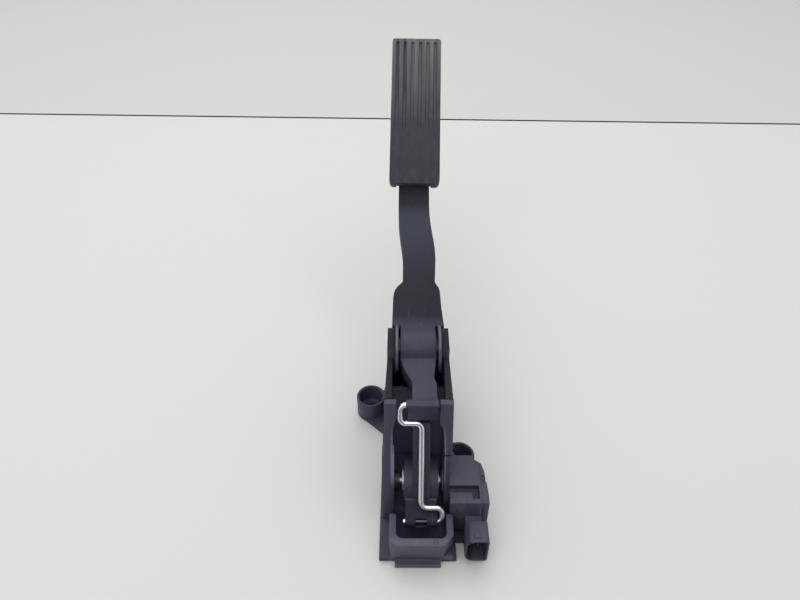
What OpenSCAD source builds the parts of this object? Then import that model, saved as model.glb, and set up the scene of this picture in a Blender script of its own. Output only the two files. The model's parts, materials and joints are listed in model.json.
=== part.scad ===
// Pendant electronic accelerator pedal: a moulded housing carries a pivoting arm with a
// rubber pad, and a bent steel link turns a spring-damped drum that drives a position sensor.
// Millimetres. Z = 0 is the mounting face, +Z points away from it, Y = 0 lies under the
// pedal pivot, +Y points to the pad and X = 0 is midway between the two side walls.

/* [Housing] */
// Clear distance between the two side walls
wall_gap = 34; // [32.5:0.5:36]
// Thickness of each side wall
wall_t = 3.4; // [2.6:0.1:4.4]
// Width of the base plate
base_w = 50; // [47:1:56]
// Thickness of the base plate
base_t = 4; // [3:0.25:5]
// Reach of the base plate in front of the pivot
base_front = 100; // [98:1:104]
// Reach of the base plate behind the pivot
base_rear = 45; // [42:1:60]
// Height of the wall ears that hold the pivot shaft
ear_h = 102; // [100:0.5:108]
// Thickness of the slanted front frame, the rear wall and the inner web
web_t = 3; // [2.2:0.2:4]
// Height of the top edge of the slanted front frame
deck_h = 90; // [86:1:92]
// Height of the foot of the slanted front frame
deck_foot_h = 27; // [24:1:30]

/* [Front pocket] */
// Height of the pocket wall round the drum lever
pocket_h = 25; // [20:1:30]
// Clear width of the pocket
pocket_gap = 32; // [30:0.5:33]
// Thickness of the pocket's two legs
pocket_leg_t = 4.4; // [3:0.2:6]
// Thickness of the pocket's front wall
pocket_front_t = 5.4; // [4:0.2:7]
// Outer corner radius of the pocket
pocket_r = 6; // [3:0.5:8]
// Radius of the pocket's lower edges
pocket_low_r = 10; // [6:0.5:11]
// Width of the locating tongue under the pocket
tongue_w = 29.6; // [20:0.5:34]
// Thickness of the locating tongue
tongue_t = 3; // [2:0.25:3.5]
// How far the tongue stands out of the base plate
tongue_reach = 4.5; // [3.5:0.5:7]

/* [Bolt bosses] */
// Outer diameter of a bolt boss
boss_d = 22; // [20:0.5:24]
// Height of a bolt boss
boss_h = 18; // [12:1:22]
// Diameter of the recess for the bolt head
recess_d = 18; // [16:0.5:18.5]
// Thickness of the boss floor, and height of the steel sleeve in it
boss_floor = 4.5; // [3:0.5:7]
// Outer diameter of the steel sleeve
sleeve_d = 10; // [9:0.5:12]
// Bore of the steel sleeve
bolt_bore_d = 6.6; // [5.4:0.1:7.4]
// Distance of the left boss from the middle plane
left_boss_x = 34.7; // [34:0.1:38]
// Distance of the left boss behind the pivot
left_boss_y = 24; // [18:1:30]
// Distance of the right boss from the middle plane
right_boss_x = 30.1; // [29.5:0.1:34]
// Distance of the right boss in front of the pivot
right_boss_y = 30; // [29:0.5:31]

/* [Pivot] */
// Height of the pedal pivot
pivot_h = 94; // [93.5:0.5:96]
// Diameter of the pivot shaft
shaft_d = 8; // [6:0.5:8.5]
// Length of the pivot shaft
shaft_len = 40.6; // [40.4:0.1:40.8]
// Diameter of the arm's hub
hub_d = 25.6; // [22:0.2:26.4]
// Width of the arm's hub
hub_w = 23.6; // [22:0.2:24]
// Wall thickness of the pivot bushes
bush_t = 1.6; // [1:0.1:2.2]
// Diameter of the bush flanges
bush_flange_d = 16; // [14:0.5:18]
// Thickness of the bush flanges
bush_flange_t = 1; // [0.6:0.1:1.1]
// Diameter of the friction discs beside the hub
disc_d = 32; // [26:0.5:32.5]
// Thickness of the friction discs
disc_t = 1.8; // [1.2:0.1:2]

/* [Arm and pad] */
// Width of the arm's blade
blade_w = 25.2; // [22:0.2:27]
// Depth of the arm's blade
blade_depth = 15; // [12:0.5:17]
// Wall thickness of the arm's channel section
blade_wall = 3.4; // [2.4:0.2:4.2]
// Sideways step of the blade towards the pad
blade_step = 3.7; // [0:0.1:5]
// Width of the arm's root behind the hub
root_w = 35.2; // [32:0.2:36]
// Length of the pedal pad
pad_len = 130.5; // [110:0.5:140]
// Width of the pedal pad
pad_w = 41.6; // [38:0.2:50]
// Thickness of the rubber over the pad's plate
rubber_t = 6.4; // [4:0.2:8]
// Thickness of the plate inside the pad
plate_t = 2.6; // [2:0.1:4]
// Rise of the pad's face from the horizontal
pad_angle = 39.1; // [34:0.1:44]
// Turn of the pad about its own face
pad_twist = 0.9; // [0:0.1:2]
// Number of grooves along the pad
groove_n = 6; // [4:1:7]
// Width of a groove
groove_w = 2.5; // [1.5:0.1:3.5]
// Depth of a groove at the top of the pad
groove_depth = 1.7; // [1:0.1:3]
// Distance from the pad's foot to the start of its grooves
groove_start = 42; // [16:1:60]

/* [Link and drum] */
// Diameter of the bent steel link
wire_d = 3.7; // [3:0.1:4]
// Distance of the link's upper pin in front of the pedal pivot
hook_back = 42.5; // [42:0.1:43]
// Distance of the link's upper pin below the pedal pivot
hook_drop = 6.7; // [6:0.1:7]
// Sideways place of the link's straight run
link_x = 2; // [1:0.1:3]
// Height of the drum's axle
drum_h = 25; // [24:0.5:27]
// Distance of the drum's axle in front of the pivot
drum_back = 56; // [55:0.5:57]
// Diameter of the drum
drum_d = 34.4; // [30:0.2:35]
// Width of the drum
drum_w = 22.4; // [20:0.2:23]
// Distance from the drum's axle to the link's lower pin
crank_reach = 28.4; // [27.5:0.1:29]
// Drop of the link's lower pin below the drum's axle
crank_drop = 3; // [2:0.1:4]
// Length of the tube that holds the link's lower pin
tube_len = 20.7; // [19:0.1:21.5]
// Outer diameter of that tube
tube_d = 7.4; // [7:0.1:8.4]
// Diameter of the drum's axle
axle_d = 6; // [5:0.2:6.6]

/* [Springs] */
// Mean diameter of the outer return spring
outer_spring_d = 18; // [16:0.5:19]
// Wire diameter of the outer return spring
outer_spring_wire = 2.2; // [1.6:0.1:2.4]
// Mean diameter of the inner return spring
inner_spring_d = 11; // [10.4:0.2:12]
// Wire diameter of the inner return spring
inner_spring_wire = 1.6; // [1:0.1:1.8]
// Number of turns of each return spring
spring_turns = 7; // [5:1:8]
// Distance of the springs behind the pivot
spring_back = 20; // [19.5:0.5:20.5]
// Height of the lower spring seat
spring_foot_h = 34; // [28:1:40]
// Height of the upper spring seat
spring_top_h = 78; // [76:0.5:79]

/* [Sensor] */
// Length of the sensor housing along the part
sensor_len = 36.4; // [35:0.2:37]
// Distance of the sensor's front face in front of the pivot
sensor_front = 80.4; // [80:0.2:82]
// Width of the sensor housing out from the side wall
sensor_w = 20.8; // [20:0.1:23]
// Height of the sensor housing's top face
sensor_top = 37; // [36:0.5:40]
// Wall thickness of the sensor housing
sensor_wall = 2.2; // [1.8:0.1:2.8]
// Thickness of the sensor's cover
cover_t = 4.2; // [4:0.1:5]
// Width of the connector shell
plug_w = 14.8; // [14:0.1:16]
// Height of the connector shell
plug_h = 24; // [22:0.2:24]
// Length of the connector shell
plug_len = 14.2; // [12:0.2:18]
// Wall thickness of the connector shell
plug_wall = 1.3; // [1.1:0.1:2.2]
// Width of a terminal
pin_w = 1.2; // [0.8:0.1:1.5]
// Thickness of a terminal
pin_t = 0.8; // [0.5:0.1:1]
// Thickness of the circuit board
board_t = 1.6; // [1:0.1:2]

/* [Clearances] */
// Radial clearance of a turning pin in its bore
run_gap = 0.05; // [0.02:0.01:0.08]
// Clearance of a piece seated in another
seat_gap = 0.02; // [0.01:0.01:0.04]
// Gap between faces that move past each other
side_gap = 0.3; // [0.2:0.05:0.4]
// Radial clearance of the link's lower pin in the drum's tube
pin_gap = 0.45; // [0.3:0.05:0.6]

/* [Hidden] */
$fn = 64;
eps = 0.01;

// The side walls and the shaft's own line
wall_in = wall_gap / 2;
wall_out = wall_in + wall_t;
pivot = [0, pivot_h];
pedal_travel = 15;

// The slanted front frame runs from its foot up to its head, as [y, z]
deck_run = 28;
deck_foot = [-drum_back - 16, deck_foot_h];
deck_head = [deck_foot[0] + deck_run, deck_h];
deck_lip = 1.4;
step_h = 57;
function deck_y(z) = deck_foot[0] + deck_run * (z - deck_foot_h) / (deck_h - deck_foot_h);

// The linkage: upper pin on the arm, lower pin on the drum, and the line between them
axle = [-drum_back, drum_h];
hook = [-hook_back, pivot_h - hook_drop];
crank = [-drum_back - crank_reach, drum_h - crank_drop];
link_len = norm(crank - hook);
link_tilt = atan2(hook[0] - crank[0], hook[1] - crank[1]);
wire_r = wire_d / 2;

// The hub stack from the arm's hub out to the side wall
hub_r = hub_d / 2;
hub_half = hub_w / 2;
bush_or = shaft_d / 2 + run_gap + bush_t;
disc_in = hub_half + bush_flange_t + side_gap;
disc_out = disc_in + disc_t;

// The retaining clips: those of the shaft lie in a recess in each side wall
clip_t = 0.8;
clip_rim = 2.5;
clip_grip = 0.8;
clip_recess = 1.6;
shaft_clip_x = wall_out - clip_recess + 0.1;
axle_clip_x = wall_out + side_gap;

// The lever in front of the hub and the block that holds the link's upper pin
lever_x = [-4.3, 11.6];
lever_under = pivot_h - 9;
block_x = [-6.9, 12];
block_y = [-hook_back - 5.7, -hook_back + 5.5];
block_z = [hook[1] - 8.3, hook[1] + 5.8];
plate_y = [block_y[0], block_y[0] + 5.4];
lip_x = [-8.1, 12.3];
lip_t = 2.2;
notch_gap = 1.1;

// The arm behind the hub
root_top = pivot_h + 6;
root_plate_t = 7.5;
root_y = [disc_d / 2 + 0.6, 50];
skirt_t = 5.2;
blade_mid_x = 2.2;
pad_foot = [158.3, 126.9];
pad_x = -1.2;
plate_inset = 2;
lip_grip = 2;
blade_end = pad_foot + (rubber_t + eps) * [sin(pad_angle), -cos(pad_angle)];
blade_start = [root_y[1], root_top];
tail_len = 17;
seat_stem_r = 6;

// The two stops: a web under the lever, and a tab on the rear wall under the arm's root
stop_web_y = -20;
idle_stop_z = lever_under - 9;
rear_top = [36, pivot_h - 24];
travel_stop_z = rear_top[1] + 4;
root_drop = 17.5;
bumper_half = 7;
bumper_lap = 0.4;

// The drum and its lever
drum_x = [link_x - drum_w / 2, link_x + drum_w / 2];
tube_x = [link_x - tube_len / 2, link_x + tube_len / 2];
tail_x = [link_x - 5.5, link_x + 5.7];
tail_t = 3.5;
tail_gap = 1.5;
tail_offset = cross(axle - crank, (hook - crank) / link_len);
drum_disc_t = 1;
axle_bush_t = 1.6;
axle_bush_or = axle_d / 2 + run_gap + axle_bush_t;
axle_flange_t = [4.2, 1];
axle_boss_t = 0.8;

// The bent link's path in its own plane: x across, and distance down from the upper pin
link_left_x = -11.8;
link_right_x = 15.4;
upper_jog = 12;
lower_jog = 9.2;
bend_r = 3.8;

notch_left = link_left_x - wire_r - 0.45;

// The cut-back right corner of the pocket: its width, its length and its lean
pocket_cut = [6, 7.4, 6];

// Shallow bays between the ribs on the outside of each side wall, as [y, z]
bay_t = 1;
bays = [
    [[-42, 42], [-26, 42], [-26, 84], [-36, 84], [-42, 62]],
    [[-23, 24], [-9, 24], [-9, 82], [-23, 82]],
    [[-6, 24], [13, 24], [13, 70], [-6, 80]],
    [[16, 24], [38, 24], [31.5, 64], [16, 69]]
];

// A small square mark in the rim of the pocket
rim_mark = [9.8, -base_front - 1.5];

// The sensor
plug_z = 3;
sensor_x = wall_out;
sensor_y = [-sensor_front, -sensor_front + sensor_len];
sensor_z = plug_z;
cover_x = sensor_x + sensor_w;
roof_t = 4.4;
plug_x = 37;
plug_y = [-base_front - 1, -base_front - 1 + plug_len];
plug_depth = 12.6;
plug_r = 7;
plug_far_r = 2.4;
rotor_r = 7;
rotor_hub_r = 5.5;
seal_r = [7.8, 9.8];
seal_t = 1;
board_x = cover_x - board_t;
screw_r = 1.5;
screw_places = [[axle[0] - 6, sensor_top - 2.2], [sensor_y[1] - 3.4, sensor_z + 5]];
screw_seat_x = cover_x + 0.9;

// Places an outline drawn as [y, z] along X from one place to another
module along_x(from, to) {
    translate([from, 0, 0]) rotate([90, 0, 90]) linear_extrude(to - from) children();
}

// A round bar along X about the line through [y, z]
module rod_x(from, to, r, at = [0, 0]) {
    translate([from, at[0], at[1]]) rotate([0, 90, 0]) cylinder(h = to - from, r = r);
}

// A round ring along X about the line through [y, z]
module ring_x(from, to, outer, inner, at = [0, 0]) {
    difference() {
        rod_x(from, to, outer, at);
        rod_x(from - 1, to + 1, inner, at);
    }
}

// A box from its lowest to its highest corner
module box(low, high) {
    translate(low) cube(high - low);
}

// A rectangle with round corners from its lowest to its highest corner
module round_rect(low, high, r) {
    for (x = [low[0] + r, high[0] - r], y = [low[1] + r, high[1] - r]) translate([x, y]) circle(r);
    translate([low[0] + r, low[1]]) square([high[0] - low[0] - 2 * r, high[1] - low[1]]);
    translate([low[0], low[1] + r]) square([high[0] - low[0], high[1] - low[1] - 2 * r]);
}

// Outline of a side wall
function wall_outline() = [
    [deck_foot[0], 0], deck_foot, deck_head, [-9, deck_h + 5], [-9, ear_h], [12, ear_h],
    [13.5, ear_h - 2], [13.5, pivot_h - 8], [20, pivot_h - 14], rear_top, [base_rear, 20],
    [base_rear, 0]
];

module base_plate() {
    difference() {
        linear_extrude(base_t) {
            translate([-base_w / 2, -base_front]) square([base_w, base_front + base_rear]);
            polygon([[-base_w / 2 + 1, 0], [-left_boss_x - 8, left_boss_y - 7],
                [-left_boss_x, left_boss_y], [-base_w / 2 + 1, left_boss_y + 12]]);
        }
        box([sensor_x, sensor_y[0] - side_gap, plug_z], [base_w, sensor_y[1] + side_gap, base_t + 1]);
    }
}

// The thin apron of the base under the sensor
module apron() {
    box([0, plug_y[1] - 0.7, 0], [plug_x + 3.4, sensor_y[1] + 2, plug_z]);
}

module side_walls() {
    for (side = [-1, 1]) {
        along_x(side < 0 ? -wall_out : wall_in, side < 0 ? -wall_in : wall_out)
            polygon(wall_outline());
        intersection() {
            along_x(-base_w, base_w) polygon(wall_outline());
            translate([0, 0, step_h]) linear_extrude(ear_h - step_h)
                polygon([[side * (wall_out - 1), -9], [side * wall_out, -9],
                    [side * (wall_out + deck_lip), deck_head[0]], [side * (wall_out + deck_lip), -90],
                    [side * (wall_out - 1), -90]]);
        }
        along_x(side < 0 ? -wall_in - eps : disc_out, side < 0 ? -disc_out : wall_in + eps)
            polygon([[-9, ear_h - 22], [-9, ear_h], [12, ear_h], [12, ear_h - 22]]);
        rod_x(side < 0 ? -wall_in - eps : wall_in - axle_boss_t,
            side < 0 ? -wall_in + axle_boss_t : wall_in + eps, axle_bush_or + 3, axle);
    }
}

// The slanted frame across the front, with the opening for the lever and the drum's tail
module deck_frame() {
    difference() {
        along_x(-wall_out - deck_lip, wall_out + deck_lip - 0.4)
            polygon([[deck_y(step_h), step_h], deck_head, deck_head + [web_t + 0.6, 0.6],
                [deck_y(step_h) + web_t + 0.6, step_h]]);
        translate([0, -base_front, 0]) rotate([90, 0, 0]) linear_extrude(2 * base_front, center = true)
            polygon([[-wall_in + 0.7, step_h - 1], [-wall_in + 0.7, 73.5], [notch_left, 81],
                [notch_left, deck_h + 3], [lip_x[1] + notch_gap, deck_h + 3],
                [lip_x[1] + notch_gap, 78], [15.2, 74.5], [16.2, 70], [wall_in - 0.3, 62],
                [wall_in, step_h - 1]]);
    }
}

// The thick left edge of the front, below the slanted frame's step
module front_pillar() {
    along_x(-wall_out - 3, -wall_in + 1.5)
        polygon([[deck_foot[0], 0], deck_foot, [deck_y(step_h), step_h],
            [deck_y(step_h) + 8, step_h], [deck_foot[0] + 10, deck_foot_h - 3],
            [deck_foot[0] + 10, 0]]);
}

module pocket() {
    low = link_x - pocket_gap / 2 - pocket_leg_t;
    high = link_x + pocket_gap / 2 + pocket_leg_t;
    front = -base_front + 2.5 - pocket_front_t;
    intersection() {
        difference() {
            linear_extrude(pocket_h) difference() {
                round_rect([low, front], [high, -sensor_front + 20], pocket_r);
                round_rect([low + pocket_leg_t, front + pocket_front_t],
                    [high - pocket_leg_t, -sensor_front + 40], pocket_r / 1.5);
                translate([low - 1, -sensor_front - side_gap]) square([2 * base_w, 40]);
            }
            translate([high - pocket_cut[0], front, pocket_h]) rotate([0, 0, atan2(pocket_cut[1], pocket_cut[0])])
                rotate([pocket_cut[2], 0, 0]) translate([-20, -30, -60]) cube([60, 30, 120]);
        }
        rotate([90, 0, 0]) linear_extrude(2 * base_front)
            round_rect([low, 0], [high, pocket_h + 2 * pocket_low_r], pocket_low_r);
        along_x(-base_w, base_w)
            polygon([[front, pocket_h + 1], [front, pocket_h - 1], [-base_front + 0.2, 0], [0, 0], [0, pocket_h + 1]]);
    }
    for (x = [-wall_in + 1.5 - 2.7, wall_out - 2.7]) along_x(x, x + 2.7)
        polygon([[-sensor_front - 1, 0], [-sensor_front - 1, pocket_h - 3], [deck_foot[0] + 1, pocket_h - 14],
            [deck_foot[0] + 1, 0]]);
}

module tongue() {
    box([-tongue_w / 2, -base_front - tongue_reach, 0], [tongue_w / 2, -base_front + 4, tongue_t]);
    box([-tongue_w / 2, -base_front - tongue_reach, tongue_t - eps],
        [tongue_w / 2, -base_front - tongue_reach + 1.2, tongue_t + 0.6]);
}

// The rear wall between the side walls, with the tab that carries the travel bumper
module rear_wall() {
    along_x(-wall_in - eps, wall_in + eps)
        polygon([[base_rear, 0], [base_rear, 20], rear_top, rear_top - [web_t, 0],
            [base_rear - web_t, 20], [base_rear - web_t, 0]]);
    box([-bumper_half - 1, rear_top[0] - web_t, rear_top[1] - 4],
        [bumper_half + 1, rear_top[0], travel_stop_z]);
}

// The cross web under the lever, which carries the idle bumper
module stop_web() {
    box([-wall_in - eps, stop_web_y, 0], [wall_in + eps, stop_web_y + web_t, idle_stop_z]);
}

module spring_pedestal() {
    translate([0, spring_back, 0]) {
        difference() {
            cylinder(h = spring_foot_h, r = outer_spring_d / 2 + 3);
            translate([0, 0, base_t]) cylinder(h = spring_foot_h - base_t - web_t, r = outer_spring_d / 2);
        }
        cylinder(h = spring_foot_h + 6, r = inner_spring_d / 2 - inner_spring_wire / 2 - 0.6);
    }
}

// The gusset that runs from the wall to the far face of the sensor
module sensor_gusset() {
    far = sensor_y[1] + side_gap;
    linear_extrude(sensor_top)
        polygon([[wall_out - 1, far], [wall_out + 5, far], [wall_out + 1.3, far + 7], [wall_out - 1, far + 12]]);
}

module bolt_boss(x, y) {
    translate([x, y, 0]) cylinder(h = boss_h, d = boss_d);
}

module bolt_boss_cut(x, y) {
    translate([x, y, boss_floor]) cylinder(h = boss_h, d = recess_d);
    translate([x, y, -1]) cylinder(h = boss_h, r = sleeve_d / 2 + seat_gap);
}

module housing() {
    color([0.125, 0.13, 0.145]) difference() {
        union() {
            base_plate();
            apron();
            side_walls();
            deck_frame();
            front_pillar();
            pocket();
            tongue();
            rear_wall();
            stop_web();
            spring_pedestal();
            bolt_boss(-left_boss_x, left_boss_y);
            box([-left_boss_x + 2, left_boss_y - 5, 0], [-wall_in - 1, left_boss_y + 6, boss_h]);
            bolt_boss(right_boss_x, -right_boss_y);
            box([wall_in + 1, -right_boss_y - 4, 0], [right_boss_x - 2, -right_boss_y + 8, boss_h]);
            sensor_gusset();
        }
        bolt_boss_cut(-left_boss_x, left_boss_y);
        bolt_boss_cut(right_boss_x, -right_boss_y);
        rod_x(-wall_out - 9, wall_out + 9, shaft_d / 2 + seat_gap, pivot);
        for (side = [0, 1]) mirror([side, 0, 0])
            rod_x(wall_out - clip_recess, wall_out + 9, shaft_d / 2 + clip_rim + 0.5, pivot);
        rod_x(-wall_out - 9, wall_out + 9, axle_bush_or + seat_gap, axle);
        rod_x(-wall_in + axle_boss_t, wall_in - axle_boss_t, axle_bush_or + 2.5, axle);
        rod_x(-wall_out - 9, -wall_out, axle_d / 2 + clip_rim + 0.6, axle);
        box([rim_mark[0], rim_mark[1], pocket_h - 0.5], [rim_mark[0] + 2.5, rim_mark[1] + 2.5, pocket_h + 1]);
        for (place = screw_places) rod_x(wall_in - 1, wall_out + 1, screw_r + seat_gap, place);
        for (side = [0, 1], bay = bays) mirror([side, 0, 0])
            along_x(wall_out - bay_t, wall_out + 9) polygon(bay);
    }
}

module bolt_sleeve(x, y) {
    color("silver") translate([x, y, 0]) difference() {
        cylinder(h = boss_floor, d = sleeve_d);
        translate([0, 0, -1]) cylinder(h = boss_floor + 2, d = bolt_bore_d);
    }
}

// Height of the blade's top face, rising smoothly from the root to the pad's plate
function blade_top(y) =
    let (h = blade_end[0] - blade_start[0], t = (y - blade_start[0]) / h, t2 = t * t, t3 = t2 * t)
    (2 * t3 - 3 * t2 + 1) * blade_start[1] + (t3 - 2 * t2 + t) * h * 0.08
    + (3 * t2 - 2 * t3) * blade_end[1] + (t3 - t2) * h * tan(pad_angle);

// Sideways place of the blade's middle, with its soft step
function blade_x(y) =
    let (t = min(1, max(0, (y - 100) / 48)))
    blade_mid_x - blade_step * t * t * (3 - 2 * t);

blade_ys = [for (i = [0 : 16]) blade_start[0] + (blade_end[0] - blade_start[0]) * i / 16];

// The blade's side view: its top face, and an underside that is a given depth below it
module blade_side(top_drop, depth) {
    polygon(concat(
        [for (y = blade_ys) [y, blade_top(y) - top_drop]],
        [blade_end + tail_len * [cos(pad_angle), sin(pad_angle)] - [0, top_drop],
            blade_end + tail_len * [cos(pad_angle), sin(pad_angle)] - [0, plate_t + 2]],
        [for (i = [16 : -1 : 0]) [blade_ys[i], blade_top(blade_ys[i]) - depth]]));
}

// The blade's plan view, with round shoulders where it meets the root
module blade_plan(inset) {
    half = blade_w / 2 - inset;
    shoulder = root_w / 2 - inset;
    ys = concat([for (y = blade_ys) if (y > 62) y], [blade_end[0] + tail_len]);
    left = [for (y = ys) [blade_x(y) - half, y]];
    right = [for (i = [len(ys) - 1 : -1 : 0]) [blade_x(ys[i]) + half - 1.6 * max(0, 1 - (ys[i] - 62) / 30), ys[i]]];
    polygon(concat(
        [[-shoulder, root_y[0]], [-shoulder + 0.3, 47], [-shoulder + 0.8, 51.5], [-shoulder + 1.9, 55.5],
            [-shoulder + 3.8, 59], [-shoulder + 5.8, 61.4]],
        left, right,
        [[shoulder - 3.4, 60.4], [shoulder - 1.8, 57.4], [shoulder - 1, 53], [shoulder - 0.7, 36],
            [shoulder + 0.4, root_y[0]]]));
}

module blade() {
    difference() {
        intersection() {
            along_x(-40, 40) blade_side(0, blade_depth);
            linear_extrude(300) blade_plan(0);
        }
        difference() {
            intersection() {
                along_x(-40, 40) blade_side(blade_wall, blade_depth + 1);
                linear_extrude(300) blade_plan(blade_wall);
            }
            for (y = [56, 82, 108, 134]) box([-40, y, 0], [40, y + 2.4, 200]);
        }
    }
}

// The flat root behind the hub, with a skirt down each side
module arm_root() {
    plate_under = root_top - root_plate_t;
    intersection() {
        along_x(-40, 40) polygon([[root_y[0], plate_under], [root_y[0], root_top],
            [root_y[1] + eps, root_top], [root_y[1] + eps, plate_under]]);
        linear_extrude(300) blade_plan(0);
    }
    skirt_x = [wall_in - 0.4 - skirt_t, wall_in - 0.4];
    for (side = [0, 1]) mirror([side, 0, 0]) along_x(skirt_x[0], skirt_x[1])
        polygon([[root_y[0] + 0.4, plate_under + eps], [root_y[1] + eps, plate_under + eps],
            [root_y[1] + eps, root_top - blade_depth], [root_y[0] + 17, root_top - blade_depth],
            [root_y[0] + 12, root_top - blade_depth - 5], [root_y[0] + 0.4, root_top - blade_depth - 5]]);
}

module arm_hub() {
    rod_x(-hub_half, hub_half, hub_r, pivot);
    along_x(-hub_half, hub_half) polygon([[2, pivot_h - 8], [12, root_top - root_plate_t],
        [root_y[0] + 3, root_top - root_plate_t], [root_y[0] + 3, root_top], [9, pivot_h + 9],
        [2, pivot_h + 8]]);
}

// The lever in front of the hub, which narrows towards its block
module arm_lever() {
    intersection() {
        along_x(-40, 40) polygon([[0, lever_under], [block_y[1] - 1, lever_under],
            [block_y[1] - 1, block_z[1] - 1], [-14, pivot_h + 3.4], [0, pivot_h + 5]]);
        linear_extrude(200) polygon([[-hub_half, 0], [-hub_half, -12], [-9.3, -20],
            [lever_x[0], -29], [lever_x[0], block_y[0]], [lever_x[1], block_y[0]],
            [lever_x[1], -30], [lever_x[1] - 1.6, -26], [lever_x[1], -12], [lever_x[1], 0]]);
    }
    box([lever_x[0], plate_y[0], block_z[0]], [lever_x[1], block_y[1], block_z[1] - 1]);
    box([block_x[0], plate_y[0], block_z[0]], [block_x[1], plate_y[1], block_z[1]]);
    box([lip_x[0], plate_y[0], block_z[1] - lip_t], [lip_x[1], plate_y[1], block_z[1]]);
}

// Everything on the pad is drawn with x across it, y up it and z out of its face
module pad_place() {
    translate([pad_x, pad_foot[0], pad_foot[1]]) rotate([pad_angle, 0, 0]) rotate([0, 0, -pad_twist])
        children();
}

module pad_plate(grow = 0) {
    half = pad_w / 2 - plate_inset + grow;
    translate([-half, plate_inset - grow, -rubber_t - plate_t - grow])
        cube([2 * half, pad_len - 2 * plate_inset + 2 * grow, plate_t + 2 * grow]);
}

module pedal_arm() {
    color([0.11, 0.11, 0.12]) difference() {
        union() {
            arm_hub();
            arm_lever();
            arm_root();
            blade();
            pad_place() pad_plate();
        }
        rod_x(-hub_half - 1, hub_half + 1, bush_or + seat_gap, pivot);
        rod_x(block_x[0] - 5, block_x[1] + 5, wire_r + run_gap, hook);
    }
}

// The rubber cover, with grooves that grow deeper towards the top of the pad
module pad_rubber() {
    pitch = pad_w / (groove_n + 0.5);
    color([0.16, 0.16, 0.16]) pad_place() difference() {
        translate([0, 0, -rubber_t - plate_t - seat_gap - 1.2])
            linear_extrude(rubber_t + plate_t + seat_gap + 1.2) union() {
                round_rect([-pad_w / 2, 0], [pad_w / 2, pad_len - 6], 4);
                round_rect([-pad_w / 2, 12], [pad_w / 2, pad_len], 1.4);
            }
        pad_plate(seat_gap);
        translate([-pad_w / 2 + plate_inset + lip_grip, plate_inset + lip_grip, -40])
            cube([pad_w - 2 * (plate_inset + lip_grip), pad_len - 2 * (plate_inset + lip_grip), 40 - rubber_t - 1]);
        translate([-blade_w / 2 - 2.4, -9, -40]) cube([blade_w + 3.6, 20, 40 - rubber_t + seat_gap]);
        for (i = [0 : groove_n - 1]) {
            mid = (i - (groove_n - 1) / 2) * pitch;
            along_x(mid - groove_w / 2, mid + groove_w / 2)
                polygon([[groove_start, 1], [pad_len - 3.5, 1], [pad_len - 3.5, -groove_depth],
                    [groove_start, -0.12]]);
        }
    }
}

// The shaft, with a groove near each end for its clip
module pivot_shaft() {
    color("silver") difference() {
        rod_x(-shaft_len / 2, shaft_len / 2, shaft_d / 2, pivot);
        for (side = [0, 1]) mirror([side, 0, 0])
            ring_x(shaft_clip_x, shaft_clip_x + clip_t + 0.1, shaft_d / 2 + 1, shaft_d / 2 - clip_grip, pivot);
    }
}

module e_clip(from, pin_r, at) {
    color("gray") difference() {
        rod_x(from, from + clip_t, pin_r + clip_rim, at);
        rod_x(from - 1, from + 2, pin_r - clip_grip + seat_gap, at);
        box([from - 1, at[0] - pin_r * 0.65, at[1] - pin_r - 5], [from + 2, at[0] + pin_r * 0.65, at[1]]);
    }
}

module shaft_clip(side) {
    mirror([side < 0 ? 1 : 0, 0, 0]) e_clip(shaft_clip_x, shaft_d / 2, pivot);
}

module pivot_bush(side) {
    color([0.1, 0.1, 0.11]) mirror([side < 0 ? 1 : 0, 0, 0]) difference() {
        union() {
            rod_x(1, hub_half + eps, bush_or, pivot);
            rod_x(hub_half, hub_half + bush_flange_t, bush_flange_d / 2, pivot);
        }
        rod_x(0, hub_half + bush_flange_t + 1, shaft_d / 2 + run_gap, pivot);
    }
}

module friction_disc(side) {
    color([0.2, 0.2, 0.21]) mirror([side < 0 ? 1 : 0, 0, 0])
        ring_x(disc_in, disc_out, disc_d / 2, shaft_d / 2 + seat_gap, pivot);
}

// Corners of the bent link as [x, height over the upper pin], and the radius of each bend
link_path = [
    [block_x[1] - 0.6, 0], [link_left_x, 0], [link_left_x, -upper_jog], [link_x, -upper_jog],
    [link_x, -link_len + lower_jog], [link_right_x, -link_len + lower_jog],
    [link_right_x, -link_len], [tube_x[0] - 1.4, -link_len]
];
link_last = len(link_path) - 1;
function unit(v) = v / norm(v);
// Where the straight run after corner i starts, and where the one before it ends
function run_start(i) = i == 0 ? link_path[0] : link_path[i] + bend_r * unit(link_path[i + 1] - link_path[i]);
function run_end(i) =
    i == link_last ? link_path[i] : link_path[i] - bend_r * unit(link_path[i] - link_path[i - 1]);

// A straight run in the plane of x and z
module wire_run(from, to) {
    step = to - from;
    translate([from[0], 0, from[1]]) rotate([0, atan2(step[0], step[1]), 0])
        cylinder(h = norm(step), r = wire_r);
}

// A quarter bend at a corner, from the direction before it to the direction after it
module wire_bend(i) {
    before = unit(link_path[i] - link_path[i - 1]);
    after = unit(link_path[i + 1] - link_path[i]);
    centre = link_path[i] + bend_r * (after - before);
    start = atan2(-after[1], -after[0]);
    finish = atan2(before[1], before[0]);
    turn = (finish - start + 540) % 360 - 180;
    translate([centre[0], 0, centre[1]]) rotate([90, 0, 0]) rotate([0, 0, min(start, start + turn)])
        rotate_extrude(angle = abs(turn)) translate([bend_r, 0]) circle(wire_r);
}

module link_wire() {
    color([0.8, 0.8, 0.82]) translate([0, hook[0], hook[1]]) rotate([-link_tilt, 0, 0]) {
        for (i = [0 : link_last - 1]) wire_run(run_start(i), run_end(i + 1));
        for (i = [1 : link_last - 1]) wire_bend(i);
    }
}

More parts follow.
